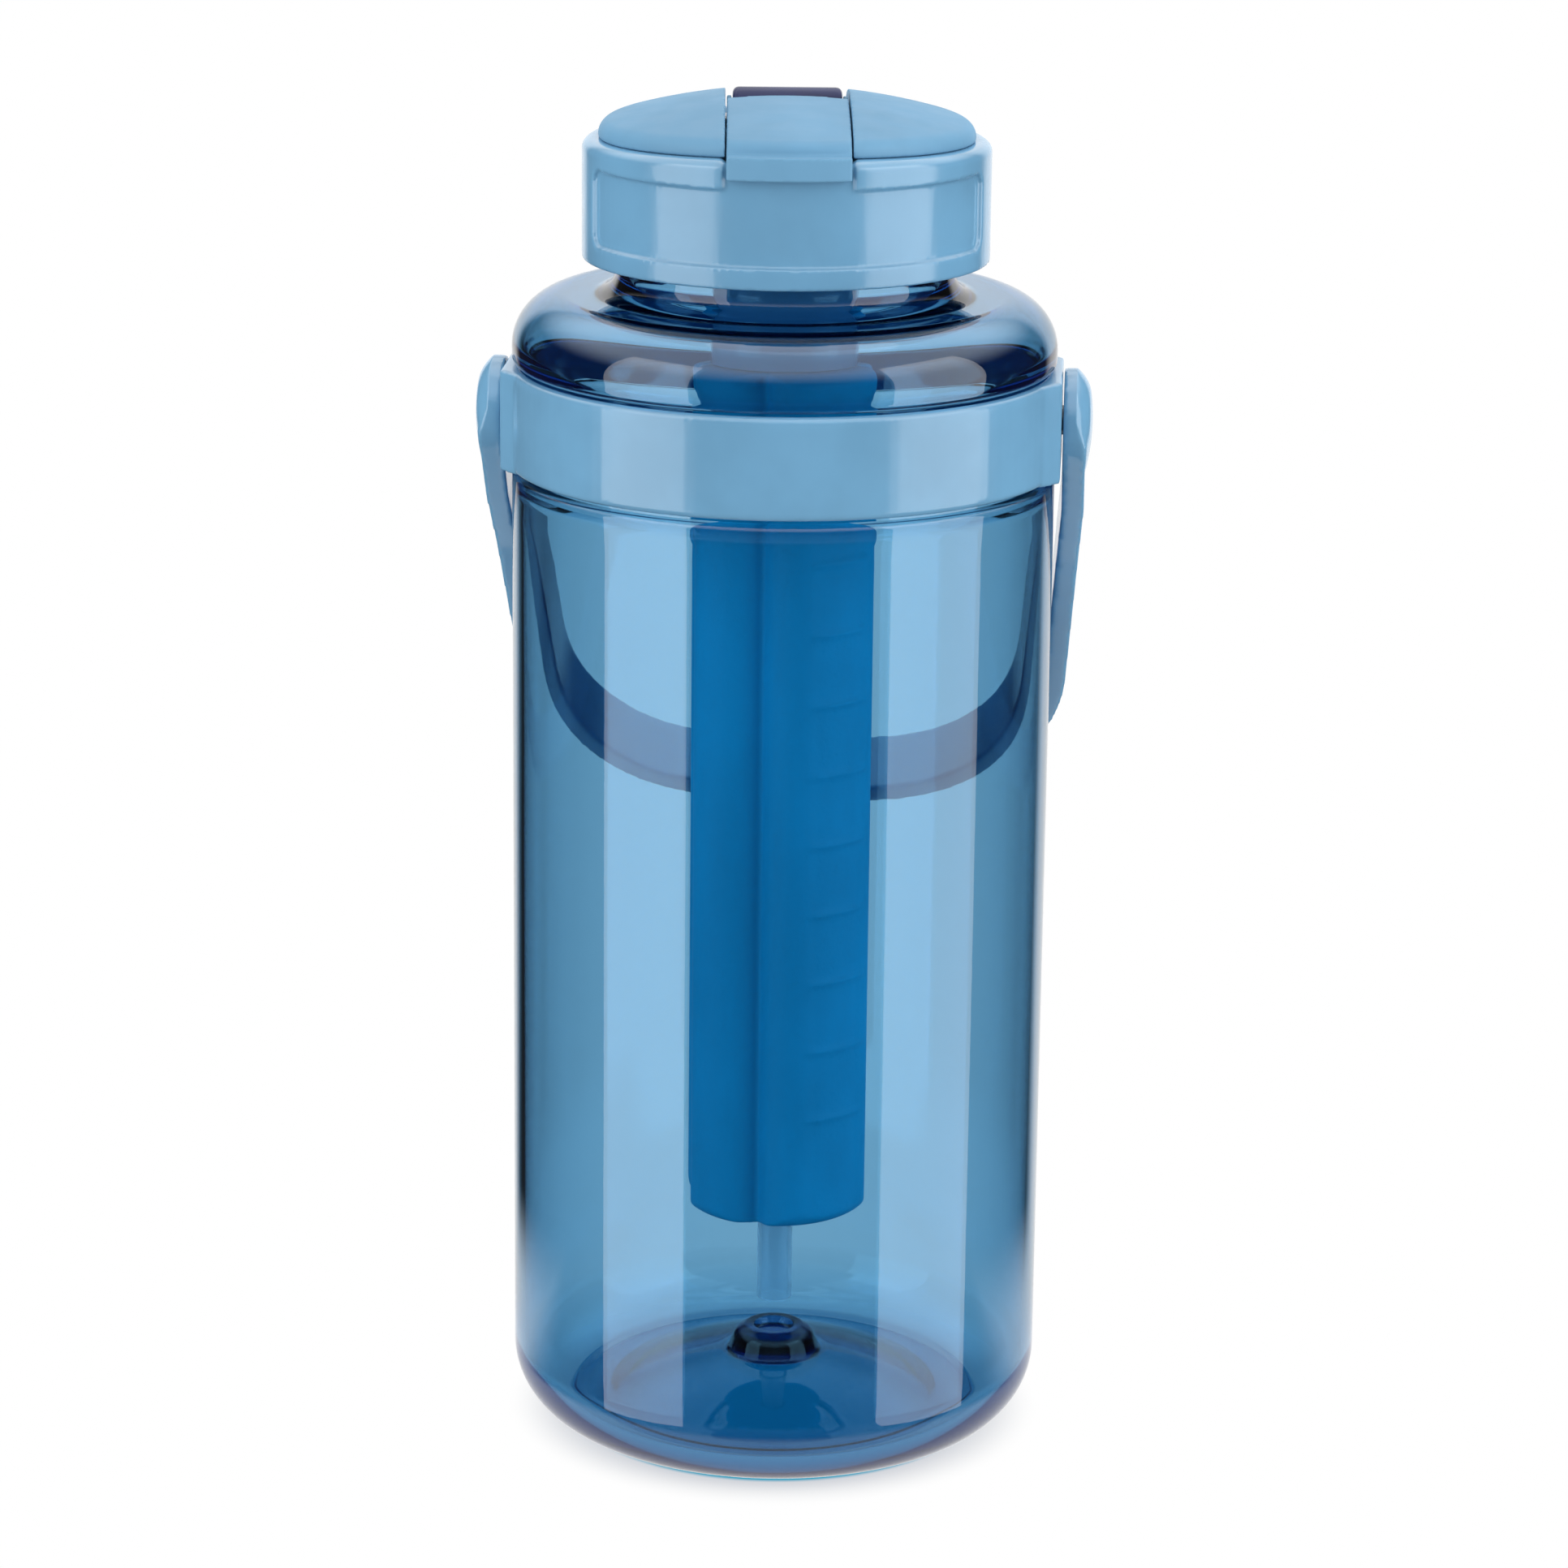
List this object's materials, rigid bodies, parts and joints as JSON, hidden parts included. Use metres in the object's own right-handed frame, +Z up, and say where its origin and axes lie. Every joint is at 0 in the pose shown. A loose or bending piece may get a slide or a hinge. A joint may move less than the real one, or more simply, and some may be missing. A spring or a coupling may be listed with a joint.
{
  "type": "pitcher with ice core",
  "caption": "Clear tinted pitcher with a swing handle, a screw lid with flip cover and folding spout, and a freezable core round its straw",
  "frame": {"origin": "The bottle's own axis on the surface that it stands on", "axes": "Z up along the bottle, X to the right along the handle's pivots, -Y to the front, where the cover's lip is; the handle hangs at the back"},
  "size_m": [0.1234, 0.1262, 0.2795],
  "materials": {
    "bottle_clear": "clear tinted plastic, polished",
    "blue_satin": "light blue moulded plastic, satin",
    "spout_navy": "dark navy, slightly translucent",
    "soft_seal": "soft pale silicone",
    "dark_seal": "black rubber ring",
    "pin_steel": "plain steel pin",
    "straw_clear": "clear thin plastic tube",
    "core_blue": "blue blow-moulded plastic, fine grain",
    "gel": "frozen gel filling"
  },
  "bodies": {
    "bottle": {"bottle_body": "bottle_clear", "carry_band": "blue_satin", "pivot_pin_left": "blue_satin", "pivot_pin_right": "blue_satin"},
    "handle": {"carry_handle": "blue_satin"},
    "gasket": {"lid_gasket": "soft_seal"},
    "lid": {"lid_collar": "blue_satin", "lid_top": "blue_satin", "lid_liner": "blue_satin", "hinge_pin_left": "pin_steel", "hinge_pin_right": "pin_steel", "spout_seal": "soft_seal", "vent_valve": "soft_seal", "core_coupler": "blue_satin", "coupler_seal": "dark_seal", "straw_adapter": "soft_seal", "straw": "straw_clear"},
    "cover": {"flip_cover": "blue_satin"},
    "nozzle": {"spout": "spout_navy"},
    "core": {"core_body": "core_blue", "core_gel": "gel", "core_cap": "core_blue"}
  },
  "joints": [
    {"name": "handle_swing", "type": "hinge", "parent": "bottle", "child": "handle", "pos_m": [0, 0, 0.2142], "axis": [1, 0, 0], "range_deg": [0, 290]},
    {"name": "lid_lift", "type": "slide", "parent": "bottle", "child": "gasket", "axis": [0, 0, 1], "range_m": [0, 0.255]},
    {"name": "lid_turn", "type": "hinge", "parent": "gasket", "child": "lid", "pos_m": [0, 0, 0.2665], "axis": [0, 0, 1], "range_deg": [0, 360]},
    {"name": "flip_open", "type": "hinge", "parent": "lid", "child": "cover", "pos_m": [-0.00034, 0.00449, 0.27285], "axis": [-0.9972, -0.075, 0], "range_deg": [0, 120]},
    {"name": "spout_tilt", "type": "hinge", "parent": "lid", "child": "nozzle", "pos_m": [-0.00034, 0.00449, 0.27285], "axis": [-0.9972, -0.075, 0], "range_deg": [0, 96]},
    {"name": "core_twist", "type": "hinge", "parent": "lid", "child": "core", "pos_m": [0, 0, 0.23], "axis": [0, 0, 1], "range_deg": [0, 360]}
  ],
  "couplings": [
    {"joint": "spout_tilt", "follows": "flip_open", "ratio": 0.8}
  ]
}
